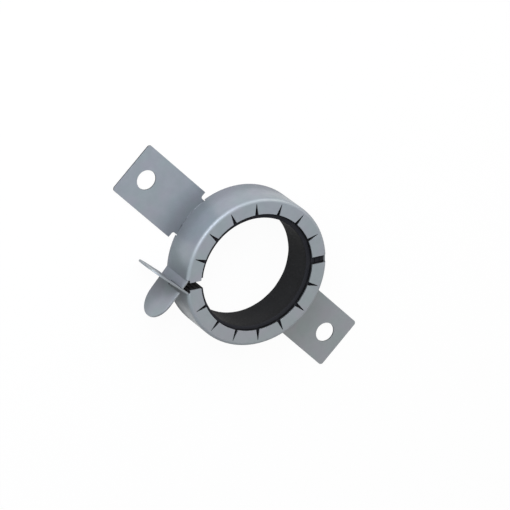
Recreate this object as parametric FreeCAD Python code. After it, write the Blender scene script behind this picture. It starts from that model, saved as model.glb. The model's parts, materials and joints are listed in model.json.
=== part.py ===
import FreeCAD, Part
import math
import os

from FreeCAD import Vector

# Fire collar for a plastic pipe, in millimetres and degrees.
# Z is the axis of the pipe and z = 0 is the surface that the collar is fixed to.
# X is the line through the two fixing holes.
# The gap line crosses the axis: the ring is closed at one end of it and hinges at the other.

# Liner: strips wound one inside the other
pipe_radius = 25.0
pipe_clearance = 0.6
strip_count = 4
strip_thickness = 2.1
strip_gap = 0.05
strip_height = 17.4
strip_setback = 0.95
strip_front_gap = 0.05
strip_end_gap = 4.4

# Shell: one folded sheet
sheet = 0.8
rim_bend_radius = 0.8
gap_line_angle = 46.1
closure_gap = 3.75
hinge_gap = 3.5

# Lips turned in over the liner
lip_count = 16
lip_setback = 2.2
notch_mouth = 1.65
notch_tip_margin = 0.45
notch_tip_radius = 0.12

# Fixing tabs folded out at the back edge
hole_spacing = 128.0
hole_radius = 4.6
tab_width = 25.6
tab_end_margin = 10.4
tab_corner_radius = 1.5
tab_bend_radius = 0.3
neck_length = 1.0
neck_width = 19.4
neck_corner_radius = 1.0
bend_relief = 0.4

# Closing lugs that cross and hook into each other
lug_length = 22.6
lug_fold_radius = 0.4
lug_fold_offset = 3.25
front_slot_lug_angle = 48.4
back_slot_lug_angle = 40.2
front_slot_start = 3.2
back_slot_start = 2.7
slot_width = 2.85
slot_overlap = 0.9

# Sizes that follow
bore_radius = pipe_radius + pipe_clearance
shell_inner_radius = bore_radius + strip_count * (strip_thickness + strip_gap)
shell_radius = shell_inner_radius + sheet
rim_outer_bend = rim_bend_radius + sheet
strip_front = strip_setback + strip_height
rim_bend_start = strip_front + strip_front_gap
collar_height = rim_bend_start + rim_outer_bend
lip_pitch = 360.0 / lip_count
lip_edge = bore_radius + lip_setback
rim_flat_radius = shell_radius - rim_outer_bend
notch_tip = rim_flat_radius - notch_tip_margin
tab_flat_start = shell_radius + tab_bend_radius
tab_shoulder = shell_radius + neck_length
tab_bend_top = sheet + tab_bend_radius
tab_end = hole_spacing / 2 + tab_end_margin
closure_angle = gap_line_angle + 180.0
slot_depth = collar_height / 2 + slot_overlap

# Length by which a cutting body runs past what it cuts
beyond = 5.0

up = Vector(0, 0, 1)


def polar(radius, angle, height=0.0):
    turn = math.radians(angle)
    return Vector(radius * math.cos(turn), radius * math.sin(turn), height)


def box(low, high):
    size = high - low
    return Part.makeBox(size.x, size.y, size.z, low)


def turned(shape, angle):
    copy = shape.copy()
    copy.rotate(Vector(0, 0, 0), up, angle)
    return copy


def line(start, end):
    return Part.LineSegment(start, end).toShape()


def arc(start, middle, end):
    return Part.Arc(start, middle, end).toShape()


def bend_arc(centre, start, end):
    """Arc about a centre, the short way from start to end."""
    half_way = (start - centre) + (end - centre)
    middle = centre + half_way.normalize() * (start - centre).Length
    return arc(start, middle, end)


def prism(points, height):
    wire = Part.makePolygon(points + [points[0]])
    return Part.Face(wire).extrude(up * height)


def ring_blank():
    """Wall, rolled rim and front flange as one turned section."""
    bend_centre = Vector(rim_flat_radius, 0, rim_bend_start)
    wall_out = Vector(shell_radius, 0, 0)
    bend_out = Vector(shell_radius, 0, rim_bend_start)
    rim_out = Vector(rim_flat_radius, 0, collar_height)
    lip_out = Vector(lip_edge, 0, collar_height)
    lip_in = lip_out - up * sheet
    rim_in = rim_out - up * sheet
    bend_in = Vector(shell_inner_radius, 0, rim_bend_start)
    wall_in = Vector(shell_inner_radius, 0, 0)
    section = Part.Wire([
        line(wall_out, bend_out),
        bend_arc(bend_centre, bend_out, rim_out),
        line(rim_out, lip_out),
        line(lip_out, lip_in),
        line(lip_in, rim_in),
        bend_arc(bend_centre, rim_in, bend_in),
        line(bend_in, wall_in),
        line(wall_in, wall_out),
    ])
    return Part.Face(section).revolve(Vector(0, 0, 0), up, 360)


def notch_cut():
    """V-notch along X, with a small round at its tip."""
    tip_centre = notch_tip - notch_tip_radius
    depth = tip_centre - lip_edge
    reach = math.hypot(notch_mouth / 2, depth)
    half_angle = math.acos(notch_tip_radius / reach) - math.atan2(depth, notch_mouth / 2)
    touch_x = tip_centre + notch_tip_radius * math.sin(half_angle)
    touch_y = notch_tip_radius * math.cos(half_angle)
    mouth_x = bore_radius - beyond
    mouth_y = touch_y + (touch_x - mouth_x) * math.tan(half_angle)
    low = rim_bend_start
    outline = Part.Wire([
        line(Vector(mouth_x, -mouth_y, low), Vector(touch_x, -touch_y, low)),
        arc(Vector(touch_x, -touch_y, low), Vector(notch_tip, 0, low), Vector(touch_x, touch_y, low)),
        line(Vector(touch_x, touch_y, low), Vector(mouth_x, mouth_y, low)),
        line(Vector(mouth_x, mouth_y, low), Vector(mouth_x, -mouth_y, low)),
    ])
    return Part.Face(outline).extrude(up * (rim_outer_bend + beyond))


def notch_cuts():
    """One notch between each two lips, but none at the ends of the gap line."""
    notch = notch_cut()
    half = lip_count // 2
    places = [n for n in range(lip_count) if n % half != 0]
    return [turned(notch, gap_line_angle + n * lip_pitch) for n in places]


def hinge_cut():
    """Slot through the lips and the rolled rim, so that the wall behind it can bend."""
    low = Vector(bore_radius - beyond, -hinge_gap / 2, rim_bend_start)
    high = Vector(shell_radius + beyond, hinge_gap / 2, collar_height + beyond)
    return turned(box(low, high), gap_line_angle)


def closure_cuts():
    """Opening between the ends of the ring, narrower through the lips than through the wall."""
    lips_low = Vector(bore_radius - beyond, -closure_gap / 2, rim_bend_start)
    lips_high = Vector(rim_flat_radius, closure_gap / 2, collar_height + beyond)
    fold_angle = math.degrees(math.asin(lug_fold_offset / shell_radius))
    reach = shell_radius + beyond
    wedge = prism([Vector(0, 0, -beyond), polar(reach, -fold_angle, -beyond),
                   polar(reach, fold_angle, -beyond)], collar_height + 2 * beyond)
    inside = Part.makeCylinder(rim_flat_radius, collar_height + 2 * beyond, Vector(0, 0, -beyond))
    return [turned(box(lips_low, lips_high), closure_angle), turned(wedge.cut(inside), closure_angle)]


def tab_root_cut(side_angle):
    """Place in the wall's back edge where the neck of a tab is folded out."""
    half = neck_width / 2 + bend_relief
    low = Vector(shell_radius / 2, -half, -beyond)
    high = Vector(tab_end, half, tab_bend_top)
    return turned(box(low, high), side_angle)


def tab_bend():
    """Fold from the wall into the neck, following the round of the wall."""
    centre = Vector(tab_flat_start, 0, tab_bend_top)
    wall_in = Vector(shell_inner_radius, 0, tab_bend_top)
    plate_back = Vector(tab_flat_start, 0, 0)
    plate_front = Vector(tab_flat_start, 0, sheet)
    wall_out = Vector(shell_radius, 0, tab_bend_top)
    section = Part.Wire([
        bend_arc(centre, wall_in, plate_back),
        line(plate_back, plate_front),
        bend_arc(centre, plate_front, wall_out),
        line(wall_out, wall_in),
    ])
    ring = Part.Face(section).revolve(Vector(0, 0, 0), up, 360)
    half = neck_width / 2
    return ring.common(box(Vector(shell_radius / 2, -half, -beyond), Vector(tab_end, half, collar_height)))


def tab_plate():
    """Flat tab with round outer corners, a fixing hole and a necked root."""
    half = tab_width / 2
    neck = neck_width / 2
    plate = box(Vector(tab_shoulder, -half, 0), Vector(tab_end, half, sheet))
    corners = [edge for edge in plate.Edges if is_corner(edge, tab_end, half)]
    plate = plate.makeFillet(tab_corner_radius, corners)
    root = box(Vector(shell_radius / 2, -neck, 0), Vector(tab_shoulder + sheet, neck, sheet))
    plate = plate.fuse(root).removeSplitter()
    corners = [edge for edge in plate.Edges if is_corner(edge, tab_shoulder, neck)]
    plate = plate.makeFillet(neck_corner_radius, corners)
    plate = plate.cut(Part.makeCylinder(tab_flat_start, sheet + 2 * beyond, Vector(0, 0, -beyond)))
    hole = Part.makeCylinder(hole_radius, sheet + 2 * beyond, Vector(hole_spacing / 2, 0, -beyond))
    return plate.cut(hole)


def is_corner(edge, x, half_width):
    """True for the upright edges at x, half_width to either side of the tab's middle."""
    middle = edge.CenterOfMass
    upright = edge.BoundBox.ZLength > sheet / 2
    return upright and abs(middle.x - x) < sheet / 10 and abs(abs(middle.y) - half_width) < sheet / 10


def closing_lug(angle, slot_at_front):
    """Lug folded out of the wall on the +Y side of the closure, which is along X here.

    The angle is measured from straight out to the lug, which leans across the gap.
    """
    fold_start = math.degrees(math.asin(lug_fold_offset / shell_radius))
    fold_centre = polar(shell_radius + lug_fold_radius, fold_start)
    run = polar(1, -angle)
    inward = polar(-1, 90 - angle)
    bend_out = polar(shell_radius, fold_start)
    bend_in = polar(shell_inner_radius, fold_start)
    run_out = fold_centre + inward * lug_fold_radius
    run_in = run_out + inward * sheet
    turn = math.radians(90 - fold_start - angle)
    apex = run_out - run * (lug_fold_radius * math.tan(turn / 2))
    reach = run * (lug_length + beyond)
    section = Part.Wire([
        bend_arc(fold_centre, bend_out, run_out),
        line(run_out, run_out + reach),
        line(run_out + reach, run_in + reach),
        line(run_in + reach, run_in),
        bend_arc(fold_centre, run_in, bend_in),
        line(bend_in, bend_out),
    ])
    ribbon = Part.Face(section).extrude(up * collar_height)
    lug = ribbon.common(lug_outline(apex, run, inward))
    return lug.cut(lug_slot(apex, run, inward, slot_at_front))


def lug_outline(apex, run, inward):
    """Full-width blank of a lug with a round end, thick enough to trim the folded strip."""
    end_radius = collar_height / 2
    start = apex - run * (2 * beyond) - inward * beyond
    shoulder = apex + run * (lug_length - end_radius) - inward * beyond
    tip = shoulder + run * end_radius + up * end_radius
    outline = Part.Wire([
        line(start, shoulder),
        arc(shoulder, tip, shoulder + up * collar_height),
        line(shoulder + up * collar_height, start + up * collar_height),
        line(start + up * collar_height, start),
    ])
    return Part.Face(outline).extrude(inward * (3 * beyond))


def lug_slot(apex, run, inward, at_front):
    """Half-depth slot that the other lug hooks into, open at the front or the back edge."""
    low = collar_height - slot_depth if at_front else -beyond
    start = front_slot_start if at_front else back_slot_start
    corner = apex + run * start - inward * beyond + up * low
    across = run * slot_width
    high = up * (slot_depth + beyond)
    mouth = Part.makePolygon([corner, corner + across, corner + across + high, corner + high, corner])
    return Part.Face(mouth).extrude(inward * (2 * beyond + sheet))


def steel_shell():
    shell = ring_blank()
    cuts = [hinge_cut()] + notch_cuts() + closure_cuts()
    cuts += [tab_root_cut(angle) for angle in (0, 180)]
    for tool in cuts:
        shell = shell.cut(tool)
    tab = tab_bend().fuse(tab_plate())
    front_slot_lug = closing_lug(front_slot_lug_angle, True).mirror(Vector(0, 0, 0), Vector(0, 1, 0))
    back_slot_lug = closing_lug(back_slot_lug_angle, False)
    pieces = [tab, turned(tab, 180), turned(front_slot_lug, closure_angle), turned(back_slot_lug, closure_angle)]
    return shell.fuse(pieces).removeSplitter()


def intumescent_strip(layer):
    """One strip of the liner, counted from the wall inwards, with its ends square to the gap."""
    outer = shell_inner_radius - strip_gap - layer * (strip_thickness + strip_gap)
    inner = outer - strip_thickness
    base = Vector(0, 0, strip_setback)
    ring = Part.makeCylinder(outer, strip_height, base).cut(Part.makeCylinder(inner, strip_height, base))
    low = Vector(0, -strip_end_gap / 2, -beyond)
    high = Vector(shell_radius + beyond, strip_end_gap / 2, collar_height + beyond)
    return ring.cut(turned(box(low, high), closure_angle))


def save(name, shape):
    shape.exportStep("parts/" + name + ".step")


os.makedirs("parts", exist_ok=True)
save("steel_shell", steel_shell())
for layer in range(strip_count):
    save("intumescent_strip_" + str(layer + 1), intumescent_strip(layer))
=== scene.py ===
"""Pipe fire collar: the finish of its folded shell and liner, and a small white studio.

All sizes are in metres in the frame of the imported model: Z is the axis of the pipe, z = 0 is the
surface that the collar is fixed to, and X runs through the two fixing holes.
"""

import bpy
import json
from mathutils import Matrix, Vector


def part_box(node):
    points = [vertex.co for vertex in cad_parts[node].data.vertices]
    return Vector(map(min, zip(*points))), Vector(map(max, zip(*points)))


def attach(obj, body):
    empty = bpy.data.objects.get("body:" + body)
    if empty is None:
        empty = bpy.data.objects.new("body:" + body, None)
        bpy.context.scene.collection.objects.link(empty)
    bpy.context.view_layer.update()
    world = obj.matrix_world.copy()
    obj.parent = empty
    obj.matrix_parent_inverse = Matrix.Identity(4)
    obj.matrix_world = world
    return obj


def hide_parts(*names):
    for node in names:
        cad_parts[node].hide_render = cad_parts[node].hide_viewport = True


bl_info = {
    "name": "Pipe Fire Collar",
    "version": (1, 0, 0),
    "blender": (4, 5, 0),
    "location": "3D View > Sidebar > Collar",
    "description": "Finishes the folded shell and the intumescent liner of a pipe fire collar",
    "category": "Object",
}

import json
import math

import bmesh
import bpy
from bpy.props import FloatProperty, FloatVectorProperty, IntProperty, PointerProperty
from mathutils import Matrix, Vector, noise
from mathutils.bvhtree import BVHTree

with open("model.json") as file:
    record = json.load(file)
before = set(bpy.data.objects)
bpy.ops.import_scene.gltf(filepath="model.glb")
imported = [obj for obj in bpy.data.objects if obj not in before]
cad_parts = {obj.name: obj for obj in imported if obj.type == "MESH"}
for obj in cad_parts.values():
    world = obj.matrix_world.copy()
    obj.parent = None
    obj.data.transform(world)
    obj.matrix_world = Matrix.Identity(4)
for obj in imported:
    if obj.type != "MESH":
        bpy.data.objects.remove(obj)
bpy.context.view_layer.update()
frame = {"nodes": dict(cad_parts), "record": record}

SHELL = "steel_shell"
STRIPS = sorted(name for name in frame["nodes"] if name.startswith("intumescent_strip_"))
STEEL_SLOT = "zinc_coated_steel"
LINER_SLOT = "intumescent_graphite"
MM = 0.001

# Sizes read from the frame
MOUNTS = {mount["name"]: mount for mount in frame["record"]["mounts"]}
OUTER_LOW, OUTER_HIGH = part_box(STRIPS[0])
LINER_RADIUS = OUTER_HIGH.x
INNER_STRIP_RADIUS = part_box(STRIPS[-1])[1].x
STRIP_PITCH = (LINER_RADIUS - INNER_STRIP_RADIUS) / (len(STRIPS) - 1)
BORE_RADIUS = MOUNTS["pipe_bore"]["dims"]["r_mm"] * MM
STRIP_THICKNESS = INNER_STRIP_RADIUS - BORE_RADIUS
STRIP_HEIGHT = OUTER_HIGH.z - OUTER_LOW.z
WALL_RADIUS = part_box(SHELL)[1].y
COLLAR_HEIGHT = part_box(SHELL)[1].z

# Bearing of the closure, and outside radius of the rolled rim's bend
CLOSURE_ANGLE = math.radians(226.1)
RIM_RADIUS = 1.6 * MM

# Bearing of the broad lug, and the root side of its slot: the corners within reach of it move
BROAD_LUG_BEARING = math.radians(274.5)
SLOT_ROOT = Vector((-25.77, -26.12)) * MM
SLOT_REACH = 0.6 * MM

# Mesh of the shell: angles that count as sharp and as flat, and length of the shortest edge kept
SHARP = math.radians(60)
FLAT = math.radians(0.3)
SHORTEST_EDGE = 0.03 * MM
ROUND_PROFILE = 0.5

# The sheet's two sides are the largest smooth patches of the shell: they are coated, the rest is cut
SHEET_SIDES = 2
COAT = 0
CUT = 1

# Flat blank: share of a face's normal that makes it level, and share that makes it part of the wall
LEVEL = math.sqrt(0.5)
RADIAL = 0.8

# Strips: faces round a corner and up a side of the cross-section, and pace of the waves up the side
CORNER_STEPS = 4
SIDE_STEPS = 9
WAVE_PACE = 0.4

# Soft end of a strip: distance from the end and depth drawn in, as shares of the corner radius
SOFT_END = ((0.0, 1.0), (0.3, 0.5), (1.0, 0.0))

# Ranges: of a mask, and of nearly all values of a noise texture
MASK = (0.0, 1.0)
NOISE = (0.3, 0.7)

# Plain colours, and the strength at which a white backdrop is plain white
BLACK = (0.0, 0.0, 0.0)
WHITE = (1.0, 1.0, 1.0)
PLAIN_WHITE = 1.0

# Width of the floor in metres, and of the camera's sensor in millimetres
FLOOR_SIZE = 12.0
SENSOR_WIDTH = 36.0

# Soft lamps: bearing and height in degrees, power in watts, and tone
SOFT_LAMPS = (
    ("side_lamp", 90, 28, 3.45, (1.0, 0.92, 0.76)),
    ("near_side_lamp", 126, 28, 1.45, (0.92, 1.0, 1.0)),
    ("main_lamp", 162, 28, 5.2, (0.94, 0.9, 1.0)),
    ("front_lamp", 198, 28, 2.2, (0.94, 1.0, 0.8)),
    ("high_lamp", 180, 48, 3.7, (0.76, 0.84, 1.0)),
    ("back_lamp", 30, 68, 0.85, (1.0, 0.96, 0.92)),
)


class ShellFinish(bpy.types.PropertyGroup):
    """Finish of the folded shell."""

    edge_round: FloatProperty(
        name="Edge rounding",
        description="Radius left on the sheared edges of the sheet",
        default=0.07 * MM, min=0.0, unit="LENGTH", precision=5)
    edge_segments: IntProperty(
        name="Edge steps",
        description="Number of faces across a rounded edge",
        default=2, min=1, max=4)
    coat_colour: FloatVectorProperty(
        name="Zinc colour",
        description="Colour of the zinc coat",
        subtype="COLOR", size=3, min=0.0, max=1.0, default=(0.218, 0.24, 0.263))
    cut_colour: FloatVectorProperty(
        name="Cut edge colour",
        description="Colour of the sheared edges, where steel shows",
        subtype="COLOR", size=3, min=0.0, max=1.0, default=(0.205, 0.222, 0.238))
    coat_roughness: FloatProperty(
        name="Zinc roughness",
        description="Mean roughness of the zinc coat",
        default=0.38, min=0.05, max=1.0)
    metal_share: FloatProperty(
        name="Metal share",
        description="How metallic the dull zinc reflects",
        default=0.35, min=0.0, max=1.0, subtype="FACTOR")
    # Painted shade: the zinc drawn darker in inner corners, and rougher there too
    crease_shade: FloatProperty(
        name="Dull creases",
        description="How much darker the zinc is in a square inner corner",
        default=0.27, min=0.0, max=1.0, subtype="FACTOR")
    crease_reach: FloatProperty(
        name="Crease reach",
        description="How far from an inner corner the zinc is dull",
        default=13.0 * MM, min=0.1 * MM, unit="LENGTH", precision=4)
    # Painted shade: the zinc drawn darker inside the small bends of the folds, and rougher there too
    fold_shade: FloatProperty(
        name="Dull fold lines",
        description="How much darker the zinc is inside the small bends of the folds",
        default=0.6, min=0.0, max=1.0, subtype="FACTOR")
    # Painted shade: the sheared edges drawn darker inside narrow cuts, and rougher there too
    cut_shade: FloatProperty(
        name="Dull cuts",
        description="How much darker the sheared edges are inside narrow cuts",
        default=0.8, min=0.0, max=1.0, subtype="FACTOR")
    cut_reach: FloatProperty(
        name="Cut reach",
        description="Width of a cut whose sheared edges are dull",
        default=3.0 * MM, min=0.1 * MM, unit="LENGTH", precision=4)
    # Painted highlight: the rolled rim drawn lighter, and rougher where the zinc is stretched
    rim_highlight_and_stretch: FloatProperty(
        name="Stretched rim",
        description="How much lighter and duller the zinc is where the rim is rolled",
        default=0.25, min=0.0, max=1.0, subtype="FACTOR")
    slot_slide: FloatProperty(
        name="Slot slide",
        description="How far the root side of the broad lug's slot lies from its place in the solid",
        default=0.62 * MM, min=0.0, unit="LENGTH", precision=4)
    spangle_size: FloatProperty(
        name="Spangle size",
        description="Width of one crystal of the zinc coat",
        default=2.4 * MM, min=0.1 * MM, unit="LENGTH", precision=4)


class LinerFinish(bpy.types.PropertyGroup):
    """Shape and finish of the wound strips."""

    press_depth: FloatProperty(
        name="Pressed depth",
        description="How far the strips are pressed towards the wall beside the closure",
        default=1.02 * MM, min=0.0, unit="LENGTH", precision=4)
    press_angle: FloatProperty(
        name="Pressed place",
        description="Where round the ring the strips are pressed most",
        default=math.radians(258), unit="ROTATION")
    press_width: FloatProperty(
        name="Pressed width",
        description="How far round the ring the pressing reaches",
        default=math.radians(48), unit="ROTATION")
    spring_in: FloatProperty(
        name="Spring in",
        description="How far the strips stand into the bore where nothing presses them",
        default=0.18 * MM, min=0.0, unit="LENGTH", precision=5)
    uneven_depth: FloatProperty(
        name="Unevenness",
        description="Depth of the waves in the strips' faces",
        default=0.12 * MM, min=0.0, unit="LENGTH", precision=5)
    uneven_size: FloatProperty(
        name="Wave size",
        description="Distance between the waves in the strips' faces",
        default=9.0 * MM, min=0.5 * MM, unit="LENGTH", precision=4)
    ring_steps: IntProperty(
        name="Ring steps",
        description="Number of faces round one strip",
        default=240, min=24, max=720)
    end_gap: FloatProperty(
        name="End gap",
        description="Gap between the two ends of a strip at the closure",
        default=4.4 * MM, min=0.0, unit="LENGTH", precision=4)
    corner_radius: FloatProperty(
        name="Corner radius",
        description="Rounding of the long corners of a strip",
        default=0.28 * MM, min=0.01 * MM, unit="LENGTH", precision=4)
    colour: FloatVectorProperty(
        name="Strip colour",
        description="Colour of the graphite-filled strip",
        subtype="COLOR", size=3, min=0.0, max=1.0, default=(0.006, 0.0062, 0.0068))
    front_colour: FloatVectorProperty(
        name="Front edge colour",
        description="Colour of the strips' cut front edges, where graphite shows",
        subtype="COLOR", size=3, min=0.0, max=1.0, default=(0.014, 0.0145, 0.018))
    # Painted shade: the strips drawn darker between each other and beside the lips, and rougher there
    # too
    seam_shade: FloatProperty(
        name="Shaded seams",
        description="How much darker the strips are between each other and beside the lips",
        default=0.9, min=0.0, max=1.0, subtype="FACTOR")
    seam_reach: FloatProperty(
        name="Seam reach",
        description="How far from a seam or a lip the strips are darker",
        default=1.2 * MM, min=0.1 * MM, unit="LENGTH", precision=4)


class StudioSetup(bpy.types.PropertyGroup):
    """Camera, lights and floor."""

    camera_distance: FloatProperty(
        name="Camera distance",
        description="Distance of the camera from the point that it looks at",
        default=1.512, min=0.1, unit="LENGTH")
    camera_bearing: FloatProperty(
        name="Camera bearing",
        description="Direction of the camera round the axis, counted from X towards Y",
        default=math.radians(-177.19), unit="ROTATION")
    camera_height: FloatProperty(
        name="Camera elevation",
        description="Height of the camera above the floor, as an angle",
        default=math.radians(55.0), unit="ROTATION")
    camera_roll: FloatProperty(
        name="Camera roll",
        description="Turn of the camera about the line of sight",
        default=math.radians(127.15), unit="ROTATION")
    camera_target: FloatVectorProperty(
        name="Camera target",
        description="Point that the camera looks at",
        size=3, subtype="XYZ", unit="LENGTH", default=(-0.2 * MM, 5.7 * MM, 10.0 * MM))
    lens: FloatProperty(
        name="Lens",
        description="Focal length on a sensor 36 mm wide",
        default=238.9, min=1.0, unit="CAMERA")
    shadow_share: FloatProperty(
        name="Shadow share",
        description="How much of the object's shadow shows on the white floor",
        default=0.04, min=0.0, max=1.0, subtype="FACTOR")
    sky_strength: FloatProperty(
        name="Sky strength",
        description="Brightness with which the surroundings light the collar evenly",
        default=0.1, min=0.0)
    lamp_distance: FloatProperty(
        name="Lamp distance",
        description="Distance of the soft lamps from the collar",
        default=0.9, min=0.1, unit="LENGTH")
    lamp_width: FloatProperty(
        name="Lamp width",
        description="Width of each square soft lamp",
        default=0.5, min=0.01, unit="LENGTH")
    floor_colour: FloatVectorProperty(
        name="Floor colour",
        description="Colour of the floor",
        subtype="COLOR", size=3, min=0.0, max=1.0, default=(0.9, 0.9, 0.9))


def direction(bearing, height):
    """Unit vector from a bearing round the axis and a height above the floor, as angles."""
    flat = math.cos(height)
    return Vector((flat * math.cos(bearing), flat * math.sin(bearing), math.sin(height)))


def scaled(colour, factor):
    """A colour made lighter or darker by one factor."""
    return tuple(min(1.0, channel * factor) for channel in colour)


def tinted(colour, tint):
    """A colour with each channel multiplied by the tint's own."""
    return tuple(min(1.0, channel * share) for channel, share in zip(colour, tint))


def add_node(tree, kind, place, **settings):
    """A node of a kind at a place in its editor, with its own settings and input values."""
    node = tree.nodes.new(kind)
    node.location = place
    for name, value in settings.items():
        if name.startswith("in_"):
            node.inputs[name[3:].replace("_", " ").title()].default_value = value
        else:
            setattr(node, name, value)
    return node


def mix_colours(tree, place, factor, first, second):
    """A colour mix whose factor and colours are sockets or values."""
    node = add_node(tree, "ShaderNodeMix", place, data_type="RGBA")
    factor_socket, first_socket, second_socket = node.inputs[0], node.inputs[6], node.inputs[7]
    for socket, value in ((factor_socket, factor), (first_socket, first), (second_socket, second)):
        if isinstance(value, bpy.types.NodeSocket):
            tree.links.new(value, socket)
        elif socket is factor_socket:
            socket.default_value = value
        else:
            socket.default_value = (*value, 1.0)
    return node.outputs[2]


def value_range(tree, place, value, given, wanted):
    """A value mapped from the given range to the wanted one and held inside it."""
    node = add_node(tree, "ShaderNodeMapRange", place, in_From_Min=given[0], in_From_Max=given[1],
                    in_To_Min=wanted[0], in_To_Max=wanted[1])
    tree.links.new(value, node.inputs["Value"])
    return node.outputs["Result"]


def maths(tree, place, operation, first, second=None):
    """A maths node whose inputs are sockets or values."""
    node = add_node(tree, "ShaderNodeMath", place, operation=operation)
    for socket, value in zip(node.inputs, (first, second)):
        if isinstance(value, bpy.types.NodeSocket):
            tree.links.new(value, socket)
        elif value is not None:
            socket.default_value = value
    return node.outputs["Value"]


def new_group(name, inputs, outputs):
    """An empty shader group with named value inputs and outputs."""
    group = bpy.data.node_groups.new(name, "ShaderNodeTree")
    for label, default in inputs:
        socket = group.interface.new_socket(label, in_out="INPUT", socket_type="NodeSocketFloat")
        socket.default_value = default
    for label in outputs:
        group.interface.new_socket(label, in_out="OUTPUT", socket_type="NodeSocketFloat")
    return group, group.nodes.new("NodeGroupInput"), group.nodes.new("NodeGroupOutput")


def place_group(tree, group, place, **values):
    """A group placed in a material with its own input values."""
    node = add_node(tree, "ShaderNodeGroup", place, node_tree=group)
    for name, value in values.items():
        node.inputs[name.replace("_", " ").capitalize()].default_value = value
    return node


def rolling_grain_group():
    """Fine lines along the length of the sheet, read from the flat blank's own map."""
    group, given, result = new_group(
        "rolling_grain", [("Lines per metre", 9000.0), ("Length ratio", 40.0)], ["Grain"])
    blank = add_node(group, "ShaderNodeUVMap", (-900, 0), uv_map="flat_blank")
    scale = add_node(group, "ShaderNodeCombineXYZ", (-700, -200))
    lengthwise = maths(group, (-880, -200), "DIVIDE", given.outputs[0], given.outputs[1])
    group.links.new(lengthwise, scale.inputs["X"])
    group.links.new(given.outputs[0], scale.inputs["Y"])
    stretch = add_node(group, "ShaderNodeVectorMath", (-500, 0), operation="MULTIPLY")
    group.links.new(blank.outputs["UV"], stretch.inputs[0])
    group.links.new(scale.outputs["Vector"], stretch.inputs[1])
    lines = add_node(group, "ShaderNodeTexNoise", (-300, 0),
                     in_Scale=1.0, in_Detail=3.0, in_Roughness=0.6)
    group.links.new(stretch.outputs["Vector"], lines.inputs["Vector"])
    group.links.new(lines.outputs["Fac"], result.inputs["Grain"])
    return group


def mottle_group():
    """Soft cloudy variation, without direction."""
    group, given, result = new_group("mottle", [("Size", 10.0 * MM), ("Detail", 3.0)], ["Cloud"])
    place = add_node(group, "ShaderNodeTexCoord", (-700, 0))
    scale = maths(group, (-700, -250), "DIVIDE", 1.0, given.outputs["Size"])
    cloud = add_node(group, "ShaderNodeTexNoise", (-400, 0), in_Roughness=0.55)
    group.links.new(place.outputs["Object"], cloud.inputs["Vector"])
    group.links.new(scale, cloud.inputs["Scale"])
    group.links.new(given.outputs["Detail"], cloud.inputs["Detail"])
    group.links.new(cloud.outputs["Fac"], result.inputs["Cloud"])
    return group


def edge_wear_group():
    """Mask of the corners, from how far a rounded normal turns from the true one."""
    group, given, result = new_group("edge_wear", [("Radius", 0.3 * MM), ("Spread", 0.25)], ["Worn"])
    rounded = add_node(group, "ShaderNodeBevel", (-700, 0), samples=4)
    group.links.new(given.outputs["Radius"], rounded.inputs["Radius"])
    surface = add_node(group, "ShaderNodeNewGeometry", (-700, -250))
    turn = add_node(group, "ShaderNodeVectorMath", (-450, 0), operation="DOT_PRODUCT")
    group.links.new(rounded.outputs["Normal"], turn.inputs[0])
    group.links.new(surface.outputs["Normal"], turn.inputs[1])
    bend = maths(group, (-250, 0), "SUBTRACT", 1.0, turn.outputs["Value"])
    share = maths(group, (-50, 0), "DIVIDE", bend, given.outputs["Spread"])
    held = add_node(group, "ShaderNodeClamp", (150, 0))
    group.links.new(share, held.inputs["Value"])
    group.links.new(held.outputs["Result"], result.inputs["Worn"])
    return group


# Painted shade in creases: share of open space at which a place counts as closed in, and steepness of
# the mask
CLOSED_IN = 0.7
CREASE_STEEPNESS = 1.5


def occlusion_shade_group():
    """Mask for painted shade and roughness in inner corners and narrow cuts, from how closed in the
    space near them is.
    """
    group, given, result = new_group("occlusion_shade", [("Reach", 10.0 * MM), ("Depth", 0.5)], ["Dull"])
    hollow = add_node(group, "ShaderNodeAmbientOcclusion", (-700, 0), samples=8)
    group.links.new(given.outputs["Reach"], hollow.inputs["Distance"])
    closed = value_range(group, (-450, 0), hollow.outputs["AO"], (CLOSED_IN, 1.0), (1.0, 0.0))
    steep = maths(group, (-250, 0), "POWER", closed, CREASE_STEEPNESS)
    shaded_and_dull = maths(group, (-50, 0), "MULTIPLY", steep, given.outputs["Depth"])
    group.links.new(shaded_and_dull, result.inputs["Dull"])
    return group


def effect_groups():
    """The effects that the finishes place as shader groups, each built once."""
    makers = {"rolling_grain": rolling_grain_group, "mottle": mottle_group,
              "edge_wear": edge_wear_group, "occlusion_shade": occlusion_shade_group}
    return {name: bpy.data.node_groups.get(name) or make() for name, make in makers.items()}


def new_material(name, shader_values):
    """A material with one shader, whose constants are set on the shader's own sockets."""
    material = bpy.data.materials.new(name)
    material.use_nodes = True
    tree = material.node_tree
    tree.nodes.clear()
    output = add_node(tree, "ShaderNodeOutputMaterial", (900, 0))
    shader = add_node(tree, "ShaderNodeBsdfPrincipled", (600, 0))
    for label, value in shader_values.items():
        shader.inputs[label].default_value = value
    tree.links.new(shader.outputs["BSDF"], output.inputs["Surface"])
    return material, tree, shader


def random_cells(tree, place, coordinates, cells_per_metre):
    """A texture of small cells, and a value that differs at random from cell to cell."""
    cells = add_node(tree, "ShaderNodeTexVoronoi", place, in_Scale=cells_per_metre)
    tree.links.new(coordinates.outputs["Object"], cells.inputs["Vector"])
    tone = add_node(tree, "ShaderNodeSeparateColor", (place[0] + 200, place[1]))
    tree.links.new(cells.outputs["Color"], tone.inputs["Color"])
    return cells, tone.outputs["Red"]


def add_relief(tree, shader, height, strength, depth):
    """Fine relief on a shader, from a height and the depth that a height of one stands for."""
    bump = add_node(tree, "ShaderNodeBump", (300, -400), in_Strength=strength, in_Distance=depth)
    tree.links.new(height, bump.inputs["Height"])
    tree.links.new(bump.outputs["Normal"], shader.inputs["Normal"])


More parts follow.
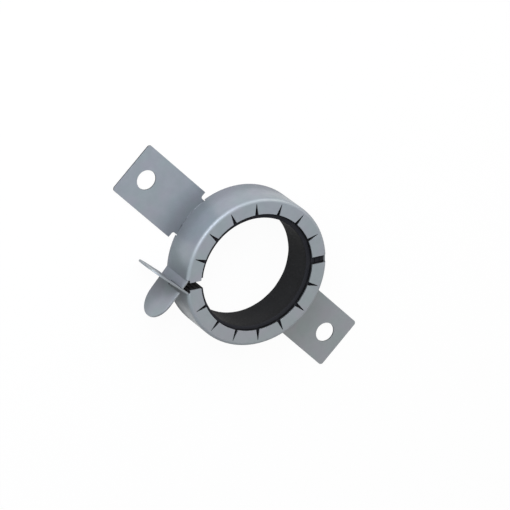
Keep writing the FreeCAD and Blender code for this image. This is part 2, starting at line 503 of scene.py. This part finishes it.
def rolled_rim(tree, place):
    """Mask of the rolled rim, where the wall bends over into the lips."""
    left, level = place
    coordinates = add_node(tree, "ShaderNodeTexCoord", place)
    parts = add_node(tree, "ShaderNodeSeparateXYZ", (left + 200, level))
    tree.links.new(coordinates.outputs["Object"], parts.inputs["Vector"])
    across = add_node(tree, "ShaderNodeVectorMath", (left + 200, level - 200), operation="MULTIPLY")
    across.inputs[1].default_value = (1.0, 1.0, 0.0)
    tree.links.new(coordinates.outputs["Object"], across.inputs[0])
    radius = add_node(tree, "ShaderNodeVectorMath", (left + 400, level - 200), operation="LENGTH")
    tree.links.new(across.outputs["Vector"], radius.inputs[0])
    bend_radius = WALL_RADIUS - RIM_RADIUS
    bend_height = COLLAR_HEIGHT - RIM_RADIUS
    fade = RIM_RADIUS / 4
    outer = value_range(tree, (left + 600, level - 200), radius.outputs["Value"],
                        (bend_radius, bend_radius + fade), MASK)
    upper = value_range(tree, (left + 600, level), parts.outputs["Z"],
                        (bend_height, bend_height + fade), MASK)
    return maths(tree, (left + 800, level), "MULTIPLY", outer, upper)


# Tints of the zinc's clouds, as shares of its colour, and the cloud values between which they blend
GREENISH = (0.955, 1.01, 0.985)
VIOLET = (1.035, 0.985, 1.02)
CLOUD_BLEND = (0.35, 0.65)

# Painted light: tints of the dim and the lit side, the way from the dim to the lit one, and its reach
# from the axis
DIM_SIDE_TINT = (0.975, 1.0, 1.035)
LIT_SIDE_TINT = (1.09, 1.06, 1.01)
LIT_SIDE_WAY = (0.71, -0.71, 0.0)
LIT_SIDE_REACH = 45.0 * MM


def cloudy_tints_and_side_light(tree, base, coordinates, clouds):
    """Zinc colour before its marks: greenish and violet clouds; one side painted lighter and warmer
    than the other.
    """
    along = add_node(tree, "ShaderNodeVectorMath", (-1150, 700), operation="DOT_PRODUCT")
    along.inputs[1].default_value = LIT_SIDE_WAY
    tree.links.new(coordinates.outputs["Object"], along.inputs[0])
    lit_side_share = value_range(tree, (-950, 700), along.outputs["Value"], (-LIT_SIDE_REACH, LIT_SIDE_REACH), MASK)
    dim_side = tinted(base, DIM_SIDE_TINT)
    lit_side = tinted(base, LIT_SIDE_TINT)
    greenish = mix_colours(tree, (-800, 500), lit_side_share, tinted(dim_side, GREENISH), tinted(lit_side, GREENISH))
    violet = mix_colours(tree, (-800, 300), lit_side_share, tinted(dim_side, VIOLET), tinted(lit_side, VIOLET))
    tint = value_range(tree, (-900, 0), clouds.outputs["Cloud"], CLOUD_BLEND, MASK)
    return mix_colours(tree, (-650, 100), tint, greenish, violet)


# Tones of the marks in the zinc, as shares of its colour, and how strongly each is mixed in
CRYSTAL_TONE = 1.25
CRYSTAL_STRENGTH = 0.09
PATCH_TONE = 0.6
PATCH_STRENGTH = 0.1
WORN_ZINC_TONE = 1.35
WORN_ZINC_STRENGTH = 0.35
# Painted highlight: how much lighter the rolled rim is drawn
RIM_HIGHLIGHT_TONE = 1.6

# Roughness that the rolling lines, the patches and the rim add to the zinc
GRAIN_ROUGHNESS = (-0.035, 0.035)
PATCH_ROUGHNESS = (-0.04, 0.04)
RIM_ROUGHNESS = 0.45

# Reach of the painted shade inside a fold, and height of the clouds in the relief, in rolling lines
FOLD_REACH = 0.6 * MM
CLOUD_HEIGHT = 4.0


def zinc_coat(finish, groups):
    """Zinc sheet: cloudy tints, faint crystals, fine rolling lines, painted shade in creases, a
    painted rim highlight.
    """
    material, tree, shader = new_material("zinc_coat", {"Metallic": finish.metal_share})
    coordinates = add_node(tree, "ShaderNodeTexCoord", (-1400, 300))
    _, crystals = random_cells(tree, (-1150, 300), coordinates, 1.0 / finish.spangle_size)
    clouds = place_group(tree, groups["mottle"], (-1150, 0), Size=11.0 * MM, Detail=2.0)
    patches = place_group(tree, groups["mottle"], (-1150, -200), Size=4.0 * MM, Detail=4.0)
    grain = place_group(tree, groups["rolling_grain"], (-1150, -400),
                        Lines_per_metre=9000.0, Length_ratio=40.0)
    worn = place_group(tree, groups["edge_wear"], (-1150, -600), Radius=0.25 * MM, Spread=0.2)
    # Painted shade in inner corners and in the small bends of the folds, also used as roughness
    occlusion_shade = place_group(tree, groups["occlusion_shade"], (-300, 600),
                         Reach=finish.crease_reach, Depth=finish.crease_shade)
    fold = place_group(tree, groups["occlusion_shade"], (-300, 450), Reach=FOLD_REACH, Depth=finish.fold_shade)
    shaded_and_dull = maths(tree, (-100, 600), "MAXIMUM", occlusion_shade.outputs["Dull"], fold.outputs["Dull"])
    # Painted highlight on the rolled rim, also used as roughness
    rim = maths(tree, (-300, 900), "MULTIPLY", rolled_rim(tree, (-1400, 900)), finish.rim_highlight_and_stretch)

    base = tuple(finish.coat_colour)
    # One side painted lighter and warmer than the other
    colour = cloudy_tints_and_side_light(tree, base, coordinates, clouds)
    tone = value_range(tree, (-750, 300), crystals, MASK, (0.0, CRYSTAL_STRENGTH))
    colour = mix_colours(tree, (-450, 150), tone, colour, scaled(base, CRYSTAL_TONE))
    shade = value_range(tree, (-700, -200), patches.outputs["Cloud"], NOISE, (0.0, PATCH_STRENGTH))
    colour = mix_colours(tree, (-250, 150), shade, colour, scaled(base, PATCH_TONE))
    bright = maths(tree, (-300, -150), "MULTIPLY", worn.outputs["Worn"], WORN_ZINC_STRENGTH)
    colour = mix_colours(tree, (-50, 150), bright, colour, scaled(base, WORN_ZINC_TONE))
    # Painted highlight: the rolled rim drawn lighter
    colour = mix_colours(tree, (100, 300), rim, colour, scaled(base, RIM_HIGHLIGHT_TONE))
    # Painted shade: inner corners and fold lines drawn darker
    colour = mix_colours(tree, (250, 300), shaded_and_dull, colour, BLACK)
    tree.links.new(colour, shader.inputs["Base Color"])

    lined = value_range(tree, (-700, -400), grain.outputs["Grain"], NOISE, GRAIN_ROUGHNESS)
    cloudy = value_range(tree, (-700, -550), patches.outputs["Cloud"], NOISE, PATCH_ROUGHNESS)
    roughness = maths(tree, (-450, -450), "ADD", lined, cloudy)
    roughness = maths(tree, (-250, -450), "ADD", roughness, finish.coat_roughness)
    stretched = maths(tree, (-250, -550), "MULTIPLY", rim, RIM_ROUGHNESS)
    roughness = maths(tree, (-50, -450), "ADD", roughness, stretched)
    roughness = maths(tree, (150, -450), "ADD", roughness, shaded_and_dull)
    tree.links.new(roughness, shader.inputs["Roughness"])

    clouded = maths(tree, (-450, -700), "MULTIPLY", clouds.outputs["Cloud"], CLOUD_HEIGHT)
    height = maths(tree, (-250, -700), "ADD", clouded, grain.outputs["Grain"])
    add_relief(tree, shader, height, strength=0.35, depth=0.004 * MM)
    return material


# Sheared edge: darkest and lightest tone, strength of the worn zinc on it, and roughness
CUT_TONES = (0.85, 1.12)
WORN_CUT_STRENGTH = 0.6
CUT_ROUGHNESS = (0.34, 0.5)

# Drag lines of the shears to a metre, and how much longer than wide they are
DRAG_LINES = 7000.0
DRAG_LENGTH = 10.0


def sheared_steel(finish, groups):
    """Sheared edge of the sheet: bare steel with drag lines across its thickness, and painted shade in
    narrow cuts.
    """
    material, tree, shader = new_material("sheared_steel", {"Metallic": finish.metal_share})
    worn = place_group(tree, groups["edge_wear"], (-900, 200), Radius=0.2 * MM, Spread=0.2)
    patches = place_group(tree, groups["mottle"], (-900, 0), Size=1.2 * MM, Detail=4.0)
    # Painted shade on the sheared edges inside narrow cuts, also used as roughness
    cuts = place_group(tree, groups["occlusion_shade"], (-400, 500),
                       Reach=finish.cut_reach, Depth=finish.cut_shade)
    shaded_and_dull = cuts.outputs["Dull"]

    base = tuple(finish.cut_colour)
    dark, light = (scaled(base, tone) for tone in CUT_TONES)
    tone = value_range(tree, (-650, 0), patches.outputs["Cloud"], NOISE, MASK)
    colour = mix_colours(tree, (-400, 100), tone, dark, light)
    bright = maths(tree, (-400, 300), "MULTIPLY", worn.outputs["Worn"], WORN_CUT_STRENGTH)
    colour = mix_colours(tree, (-150, 150), bright, colour, tuple(finish.coat_colour))
    # Painted shade: the sheared edges drawn darker inside narrow cuts
    colour = mix_colours(tree, (100, 150), shaded_and_dull, colour, BLACK)
    tree.links.new(colour, shader.inputs["Base Color"])

    coordinates = add_node(tree, "ShaderNodeTexCoord", (-900, -300))
    across = add_node(tree, "ShaderNodeMapping", (-700, -300))
    across.inputs["Scale"].default_value = (DRAG_LINES, DRAG_LINES, DRAG_LINES / DRAG_LENGTH)
    lines = add_node(tree, "ShaderNodeTexNoise", (-500, -300), in_Scale=1.0, in_Detail=2.0)
    tree.links.new(coordinates.outputs["Object"], across.inputs["Vector"])
    tree.links.new(across.outputs["Vector"], lines.inputs["Vector"])
    roughness = value_range(tree, (-250, -200), lines.outputs["Fac"], NOISE, CUT_ROUGHNESS)
    roughness = maths(tree, (0, -200), "ADD", roughness, shaded_and_dull)
    tree.links.new(roughness, shader.inputs["Roughness"])
    add_relief(tree, shader, lines.outputs["Fac"], strength=0.4, depth=0.01 * MM)
    return material


# Graphite strip: sheen, darkest and lightest tone, and roughness of its felted skin
STRIP_SHEEN = 0.165
STRIP_TONES = (0.85, 1.15)
FELT_ROUGHNESS = (0.74, 0.92)

# Graphite flakes to a metre, the tones among them that glint, and how light and smooth a glint is
FLAKES = 2600.0
GLINTING = (0.93, 1.0)
GLINT_STRENGTH = 0.3
GLINT_TONE = 3.0
GLINT_SHINE = 0.5

# Rubbed corners of the strips: how light they are, and how strongly that is mixed in
RUBBED_TONE = 1.6
RUBBED_STRENGTH = 0.5


def graphite_strip(finish, groups):
    """Graphite-filled strip: matt black, a felted skin, small flakes that glint, and painted shade at
    its seams.
    """
    material, tree, shader = new_material(
        "graphite_strip", {"Metallic": 0.0, "Specular IOR Level": STRIP_SHEEN})
    coordinates = add_node(tree, "ShaderNodeTexCoord", (-1200, 0))
    flakes, flake_tone = random_cells(tree, (-1000, 200), coordinates, FLAKES)
    clouds = place_group(tree, groups["mottle"], (-1000, -50), Size=6.0 * MM, Detail=4.0)
    felt = place_group(tree, groups["mottle"], (-1000, -250), Size=0.5 * MM, Detail=5.0)
    worn = place_group(tree, groups["edge_wear"], (-1000, -450), Radius=0.3 * MM, Spread=0.25)
    # Painted shade between the strips and beside the lips, also used as roughness
    seams = place_group(tree, groups["occlusion_shade"], (0, 400),
                        Reach=finish.seam_reach, Depth=finish.seam_shade)
    shaded_and_dull = seams.outputs["Dull"]

    base = tuple(finish.colour)
    dark, light = (scaled(base, tone) for tone in STRIP_TONES)
    tone = value_range(tree, (-750, -50), clouds.outputs["Cloud"], NOISE, MASK)
    colour = mix_colours(tree, (-500, 50), tone, dark, light)
    parts = add_node(tree, "ShaderNodeSeparateXYZ", (-800, 500))
    tree.links.new(coordinates.outputs["Object"], parts.inputs["Vector"])
    corner_height = OUTER_HIGH.z - finish.corner_radius
    front = value_range(tree, (-600, 500), parts.outputs["Z"], (corner_height, OUTER_HIGH.z), MASK)
    colour = mix_colours(tree, (-400, 300), front, colour, tuple(finish.front_colour))
    glint = value_range(tree, (-600, 250), flake_tone, GLINTING, (0.0, GLINT_STRENGTH))
    colour = mix_colours(tree, (-250, 100), glint, colour, scaled(base, GLINT_TONE))
    rubbed = maths(tree, (-500, -450), "MULTIPLY", worn.outputs["Worn"], RUBBED_STRENGTH)
    colour = mix_colours(tree, (0, 100), rubbed, colour, scaled(base, RUBBED_TONE))
    # Painted shade: the strips drawn darker between each other and beside the lips
    colour = mix_colours(tree, (250, 200), shaded_and_dull, colour, BLACK)
    tree.links.new(colour, shader.inputs["Base Color"])

    roughness = value_range(tree, (-500, -200), felt.outputs["Cloud"], NOISE, FELT_ROUGHNESS)
    shine = maths(tree, (-250, -200), "MULTIPLY", glint, GLINT_SHINE)
    roughness = maths(tree, (0, -200), "SUBTRACT", roughness, shine)
    roughness = maths(tree, (250, -100), "ADD", roughness, shaded_and_dull)
    tree.links.new(roughness, shader.inputs["Roughness"])
    height = maths(tree, (-250, -400), "ADD", felt.outputs["Cloud"], flakes.outputs["Distance"])
    add_relief(tree, shader, height, strength=0.5, depth=0.05 * MM)
    return material


def smooth_patches(mesh, limit):
    """Groups of faces that join without a sharp edge, the largest first."""
    seen = set()
    patches = []
    for start in mesh.faces:
        if start in seen:
            continue
        seen.add(start)
        patch = [start]
        for face in patch:
            for edge in face.edges:
                if edge.calc_face_angle(math.pi) > limit:
                    continue
                for other in edge.link_faces:
                    if other not in seen:
                        seen.add(other)
                        patch.append(other)
        patches.append(patch)
    return sorted(patches, key=lambda faces: -sum(face.calc_area() for face in faces))


def blank_place(point, normal):
    """Place of a point of the folded sheet on its flat blank: along the rolled strip and across it."""
    radius = math.hypot(point.x, point.y)
    turn = (math.atan2(point.y, point.x) - CLOSURE_ANGLE) % (2 * math.pi)
    if abs(normal.z) > LEVEL:
        return (point.y, point.x) if radius > WALL_RADIUS else (turn * WALL_RADIUS, radius)
    radial = abs(normal.x * point.x + normal.y * point.y) / radius
    return (turn * WALL_RADIUS if radial > RADIAL else radius, point.z)


def dressed_shell(name, finish):
    """The shell's solid as one clean mesh: sheared edges rounded, and the flat blank's map added."""
    mesh = bmesh.new()
    mesh.from_mesh(frame["nodes"][SHELL].data)
    bmesh.ops.remove_doubles(mesh, verts=mesh.verts, dist=SHORTEST_EDGE)
    # The root side of the broad lug's slot lies against the narrow lug
    for corner in mesh.verts:
        if (corner.co.xy - SLOT_ROOT).length < SLOT_REACH:
            corner.co += direction(BROAD_LUG_BEARING, 0.0) * finish.slot_slide
    for face in mesh.faces:
        face.material_index = CUT
    for face in sum(smooth_patches(mesh, SHARP)[:SHEET_SIDES], []):
        face.material_index = COAT
    bmesh.ops.dissolve_limit(mesh, angle_limit=FLAT, verts=mesh.verts, edges=mesh.edges,
                             delimit={"MATERIAL"})
    solid = BVHTree.FromBMesh(mesh)
    edges = [edge for edge in mesh.edges if edge.calc_face_angle(0.0) > SHARP]
    bmesh.ops.bevel(mesh, geom=edges, offset=finish.edge_round, segments=finish.edge_segments,
                    profile=ROUND_PROFILE, affect="EDGES", clamp_overlap=False, loop_slide=False)
    # A corner that the rounding throws off the sheet goes back to it
    for corner in mesh.verts:
        nearest, _, _, distance = solid.find_nearest(corner.co)
        if distance > finish.edge_round:
            corner.co = nearest
    blank = mesh.loops.layers.uv.new("flat_blank")
    for face in mesh.faces:
        face.smooth = True
        for loop in face.loops:
            loop[blank].uv = blank_place(loop.vert.co, face.normal)
    data = bpy.data.meshes.new(name)
    mesh.to_mesh(data)
    mesh.free()
    return data


def strip_section(thickness, height, corner):
    """Rounded outline of a strip's cross-section: across its thickness and along its height.

    It runs from the outer front corner by the inner side to the outer side. Both sides have rows of
    points of their own, so that they can follow the waves.
    """
    outline = []
    width, run = thickness - 2 * corner, height - 2 * corner
    side = [row / SIDE_STEPS for row in range(1, SIDE_STEPS)]
    for quarter, (across, up) in enumerate(((1, 1), (0, 1), (0, 0), (1, 0))):
        for step in range(CORNER_STEPS + 1):
            angle = (quarter + step / CORNER_STEPS) * math.pi / 2
            outline.append((corner + across * width + corner * math.cos(angle),
                            corner + up * run + corner * math.sin(angle)))
        if quarter == 1:
            outline += [(0.0, corner + run * (1 - share)) for share in side]
        if quarter == 3:
            outline += [(thickness, corner + run * share) for share in side]
    return outline


def pressed_bore(angle, finish):
    """Radius of the bore at an angle, where the closed shell presses the strips towards the wall."""
    away = (angle - finish.press_angle + math.pi) % (2 * math.pi) - math.pi
    return (BORE_RADIUS - finish.spring_in
            + finish.press_depth * math.exp(-0.5 * (away / finish.press_width) ** 2))


def strip_point(share, across, height, layer, finish):
    """A point of a strip, from its share of the way round, its place across it and its height."""
    nominal = LINER_RADIUS - layer * STRIP_PITCH - STRIP_THICKNESS + across
    half_gap = math.asin(finish.end_gap / 2 / nominal)
    angle = CLOSURE_ANGLE + half_gap + share * (2 * math.pi - 2 * half_gap)
    depth = (LINER_RADIUS - nominal) / (LINER_RADIUS - BORE_RADIUS)
    radius = LINER_RADIUS - depth * (LINER_RADIUS - pressed_bore(angle, finish))
    place = Vector((math.cos(angle), math.sin(angle), 0.0)) * radius
    waved = Vector((place.x, place.y, height * WAVE_PACE)) / finish.uneven_size
    unevenness = noise.noise(waved + Vector((layer, 0, 0)))
    place *= 1.0 - depth * abs(unevenness) * finish.uneven_depth / radius
    place.z = OUTER_LOW.z + height
    return place


def drawn_in(value, middle, pull):
    """A coordinate moved towards the middle by a pull, and never past it."""
    way = middle - value
    return value + math.copysign(min(pull, abs(way)), way)


def strip_mesh(name, layer, finish):
    """One strip of the liner, wound in a ring that is open at the closure."""
    outline = strip_section(STRIP_THICKNESS, STRIP_HEIGHT, finish.corner_radius)
    soften = finish.corner_radius / (2 * math.pi * LINER_RADIUS)
    steps = finish.ring_steps
    stations = [(along * soften, inset) for along, inset in SOFT_END]
    stations += [(soften + (1 - 2 * soften) * step / steps, 0.0) for step in range(1, steps)]
    stations += [(1 - along * soften, inset) for along, inset in reversed(SOFT_END)]
    mesh = bmesh.new()
    rings = []
    for share, inset in stations:
        ring = []
        pull = inset * finish.corner_radius
        for across, height in outline:
            x = drawn_in(across, STRIP_THICKNESS / 2, pull)
            y = drawn_in(height, STRIP_HEIGHT / 2, pull)
            ring.append(mesh.verts.new(strip_point(share, x, y, layer, finish)))
        rings.append(ring)
    for ring, following in zip(rings, rings[1:]):
        for index in range(len(ring)):
            after = (index + 1) % len(ring)
            mesh.faces.new((ring[index], following[index], following[after], ring[after]))
    mesh.faces.new(rings[0])
    mesh.faces.new(reversed(rings[-1]))
    bmesh.ops.recalc_face_normals(mesh, faces=mesh.faces)
    # Only the two flat ends have more than four corners
    for face in mesh.faces:
        face.smooth = len(face.verts) == 4
    data = bpy.data.meshes.new(name)
    mesh.to_mesh(data)
    mesh.free()
    return data


def own_piece(name, data, materials, slot_name, *nodes):
    """An object for a finished mesh, riding on the collar in place of its solids."""
    piece = bpy.data.objects.new(name, data)
    bpy.context.scene.collection.objects.link(piece)
    for material in materials:
        data.materials.append(material)
    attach(piece, "root")
    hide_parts(*nodes)
    return piece


def seen_plainly(tree):
    """One where the camera, a shiny surface or a clear one looks straight at a backdrop."""
    rays = add_node(tree, "ShaderNodeLightPath", (-600, 200)).outputs
    seen = maths(tree, (-400, 200), "MAXIMUM", rays["Is Camera Ray"], rays["Is Glossy Ray"])
    return maths(tree, (-200, 200), "MAXIMUM", seen, rays["Is Transmission Ray"])


def white_floor(colour, shadow_share):
    """Floor that shows plain white to the camera and to shiny surfaces, and keeps a faint shadow."""
    material = bpy.data.materials.new("white_floor")
    material.use_nodes = True
    tree = material.node_tree
    tree.nodes.clear()
    share = maths(tree, (0, 200), "MULTIPLY", seen_plainly(tree), 1.0 - shadow_share)
    paper = add_node(tree, "ShaderNodeBsdfDiffuse", (0, 0), in_Color=(*colour, 1.0))
    glow = add_node(tree, "ShaderNodeEmission", (0, -150), in_Strength=PLAIN_WHITE)
    both = add_node(tree, "ShaderNodeMixShader", (250, 0))
    output = add_node(tree, "ShaderNodeOutputMaterial", (450, 0))
    tree.links.new(share, both.inputs["Fac"])
    tree.links.new(paper.outputs["BSDF"], both.inputs[1])
    tree.links.new(glow.outputs["Emission"], both.inputs[2])
    tree.links.new(both.outputs["Shader"], output.inputs["Surface"])
    return material


def white_surroundings(strength):
    """World that lights evenly and is plain white behind the object."""
    world = bpy.data.worlds.new("white_surroundings")
    bpy.context.scene.world = world
    world.use_nodes = True
    tree = world.node_tree
    tree.nodes.clear()
    white = (*WHITE, 1.0)
    light = add_node(tree, "ShaderNodeBackground", (0, 0), in_Color=white, in_Strength=strength)
    behind = add_node(tree, "ShaderNodeBackground", (0, -150), in_Color=white, in_Strength=PLAIN_WHITE)
    both = add_node(tree, "ShaderNodeMixShader", (250, 0))
    output = add_node(tree, "ShaderNodeOutputWorld", (450, 0))
    tree.links.new(seen_plainly(tree), both.inputs["Fac"])
    tree.links.new(light.outputs["Background"], both.inputs[1])
    tree.links.new(behind.outputs["Background"], both.inputs[2])
    tree.links.new(both.outputs["Shader"], output.inputs["Surface"])


def soft_lamp(studio, name, bearing, height, power, tone):
    """A square soft lamp that faces the collar."""
    lamp = bpy.data.lights.new(name, "AREA")
    lamp.shape = "SQUARE"
    lamp.size = studio.lamp_width
    lamp.energy = power
    lamp.color = tone
    holder = bpy.data.objects.new(name, lamp)
    bpy.context.scene.collection.objects.link(holder)
    away = direction(math.radians(bearing), math.radians(height))
    holder.location = away * studio.lamp_distance
    holder.rotation_euler = away.to_track_quat("Z", "Y").to_euler()


def photo_camera(studio):
    """Camera at the photograph's viewing angle, rolled about its line of sight."""
    away = direction(studio.camera_bearing, studio.camera_height)
    target = Vector(studio.camera_target)
    side = (-away).cross(Vector((0, 0, 1))).normalized()
    upward = side.cross(-away)
    right = side * math.cos(studio.camera_roll) + upward * math.sin(studio.camera_roll)
    turn = Matrix((right, away.cross(right), away)).transposed().to_4x4()
    lens = bpy.data.cameras.new("photo_camera")
    lens.lens = studio.lens
    lens.sensor_width = SENSOR_WIDTH
    camera = bpy.data.objects.new("photo_camera", lens)
    bpy.context.scene.collection.objects.link(camera)
    camera.matrix_world = Matrix.Translation(target + away * studio.camera_distance) @ turn
    bpy.context.scene.camera = camera


class COLLAR_OT_shell(bpy.types.Operator):
    """Finish the folded steel shell"""

    bl_idname = "collar.shell"
    bl_label = "Folded Shell"
    bl_options = {"REGISTER", "UNDO"}

    def execute(self, context):
        finish = context.scene.collar_shell
        groups = effect_groups()
        materials = [zinc_coat(finish, groups), sheared_steel(finish, groups)]
        name = "folded_shell"
        piece = own_piece(name, dressed_shell(name, finish), materials, STEEL_SLOT, SHELL)
        even = piece.modifiers.new("Even shading", "WEIGHTED_NORMAL")
        even.keep_sharp = True
        return {"FINISHED"}


class COLLAR_OT_liner(bpy.types.Operator):
    """Wind the four intumescent strips inside the shell"""

    bl_idname = "collar.liner"
    bl_label = "Liner Strips"
    bl_options = {"REGISTER", "UNDO"}

    def execute(self, context):
        finish = context.scene.collar_liner
        material = graphite_strip(finish, effect_groups())
        for layer, node in enumerate(STRIPS):
            name = f"liner_strip_{layer + 1}"
            own_piece(name, strip_mesh(name, layer, finish), [material], LINER_SLOT, node)
        return {"FINISHED"}


class COLLAR_OT_studio(bpy.types.Operator):
    """Set up the white floor, the lights and the camera"""

    bl_idname = "collar.studio"
    bl_label = "White Studio"
    bl_options = {"REGISTER", "UNDO"}

    def execute(self, context):
        studio = context.scene.collar_studio
        half = FLOOR_SIZE / 2
        data = bpy.data.meshes.new("floor")
        corners = [(-half, -half, 0), (half, -half, 0), (half, half, 0), (-half, half, 0)]
        data.from_pydata(corners, [], [(0, 1, 2, 3)])
        data.materials.append(white_floor(studio.floor_colour, studio.shadow_share))
        floor = bpy.data.objects.new("floor", data)
        context.scene.collection.objects.link(floor)
        white_surroundings(studio.sky_strength)
        for lamp in SOFT_LAMPS:
            soft_lamp(studio, *lamp)
        photo_camera(studio)
        context.scene.view_settings.view_transform = "Standard"
        return {"FINISHED"}


class COLLAR_PT_sidebar(bpy.types.Panel):
    """The collar's pieces and their sizes"""

    bl_idname = "COLLAR_PT_sidebar"
    bl_label = "Pipe Fire Collar"
    bl_space_type = "VIEW_3D"
    bl_region_type = "UI"
    bl_category = "Collar"

    def draw(self, context):
        for settings, operator in PIECES:
            box = self.layout.box()
            group = getattr(context.scene, settings)
            for name in group.bl_rna.properties.keys():
                if name not in ("rna_type", "name"):
                    box.prop(group, name)
            box.operator(operator)


PIECES = (
    ("collar_shell", "collar.shell"),
    ("collar_liner", "collar.liner"),
    ("collar_studio", "collar.studio"),
)
SETTINGS = {"collar_shell": ShellFinish, "collar_liner": LinerFinish, "collar_studio": StudioSetup}
CLASSES = (*SETTINGS.values(), COLLAR_OT_shell, COLLAR_OT_liner, COLLAR_OT_studio, COLLAR_PT_sidebar)


def register():
    """Register the settings, the operators and the panel."""
    for cls in CLASSES:
        bpy.utils.register_class(cls)
    for name, group in SETTINGS.items():
        setattr(bpy.types.Scene, name, PointerProperty(type=group))


def unregister():
    """Take the settings, the operators and the panel out again."""
    for name in SETTINGS:
        delattr(bpy.types.Scene, name)
    for cls in reversed(CLASSES):
        bpy.utils.unregister_class(cls)


def main():
    """Build the stage and the dressed collar."""
    register()
    bpy.ops.collar.studio()
    bpy.ops.collar.shell()
    bpy.ops.collar.liner()


if __name__ == "__main__":
    main()
